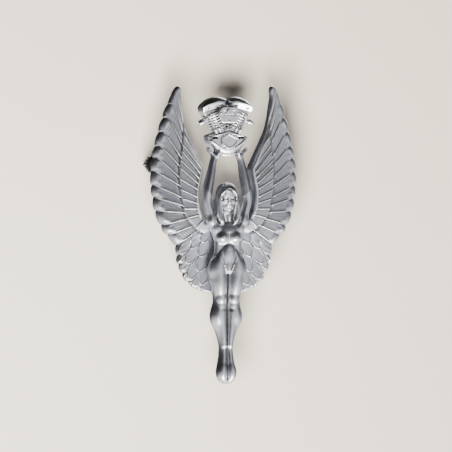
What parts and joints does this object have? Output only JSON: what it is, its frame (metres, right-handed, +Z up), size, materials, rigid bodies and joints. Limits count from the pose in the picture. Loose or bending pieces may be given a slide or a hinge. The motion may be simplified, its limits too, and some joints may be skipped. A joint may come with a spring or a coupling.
{
  "type": "hood ornament",
  "caption": "Cast hood ornament: winged figure with raised arms lifting a small V-twin engine, with two rear mounting studs, pads, washers and nuts.",
  "frame": {"origin": "midway between the two mounting studs, on the plane where the pads meet the panel", "axes": "+Z up along the figure, +Y from the viewer towards the panel and along the studs, +X to the viewer's right"},
  "size_m": [0.062, 0.0336, 0.1261],
  "materials": {
    "pewter": "satin cast pewter, dark in the recesses",
    "pewter_figure": "satin cast pewter, polished high points",
    "pewter_engine": "brighter cast pewter, dark in the recesses",
    "steel": "plain",
    "stud_steel": "dull, aged",
    "zinc_hardware": "zinc plated",
    "pad_rubber": "matt"
  },
  "bodies": {
    "ornament": {"left_wing": "pewter", "right_wing": "pewter", "torso": "pewter_figure", "legs": "pewter_figure", "head": "pewter_figure", "hair": "pewter_figure", "left_arm": "pewter_figure", "right_arm": "pewter_figure", "crankcase": "pewter_engine", "timing_cover": "pewter_engine", "cover_screws": "pewter_engine", "left_cylinder": "pewter_engine", "right_cylinder": "pewter_engine", "left_rocker_box": "pewter_engine", "right_rocker_box": "pewter_engine", "pushrod_tubes": "pewter_engine", "air_cleaner": "pewter_engine", "exhaust_stubs": "pewter_engine", "wing_dowels": "steel", "hip_dowels": "steel", "neck_pin": "steel", "hand_pins": "steel", "left_stud": "stud_steel", "right_stud": "stud_steel", "left_pad": "pad_rubber", "right_pad": "pad_rubber"},
    "left_washer": {"left_washer": "zinc_hardware"},
    "left_nut": {"left_nut": "zinc_hardware"},
    "right_washer": {"right_washer": "zinc_hardware"},
    "right_nut": {"right_nut": "zinc_hardware"}
  },
  "joints": [
    {"name": "left_nut_travel", "type": "slide", "parent": "ornament", "child": "left_washer", "axis": [0, 1, 0], "range_m": [0, 0.007]},
    {"name": "left_nut_turn", "type": "hinge", "parent": "left_washer", "child": "left_nut", "pos_m": [-0.0265, 0.0034, 0], "axis": [0, 1, 0], "range_deg": [0, 3600]},
    {"name": "right_nut_travel", "type": "slide", "parent": "ornament", "child": "right_washer", "axis": [0, 1, 0], "range_m": [0, 0.007]},
    {"name": "right_nut_turn", "type": "hinge", "parent": "right_washer", "child": "right_nut", "pos_m": [0.0265, 0.0034, 0], "axis": [0, 1, 0], "range_deg": [0, 3600]}
  ],
  "couplings": [
    {"joint": "left_nut_turn", "follows": "left_nut_travel", "rad_per_m": 8976},
    {"joint": "right_nut_turn", "follows": "right_nut_travel", "rad_per_m": 8976}
  ]
}
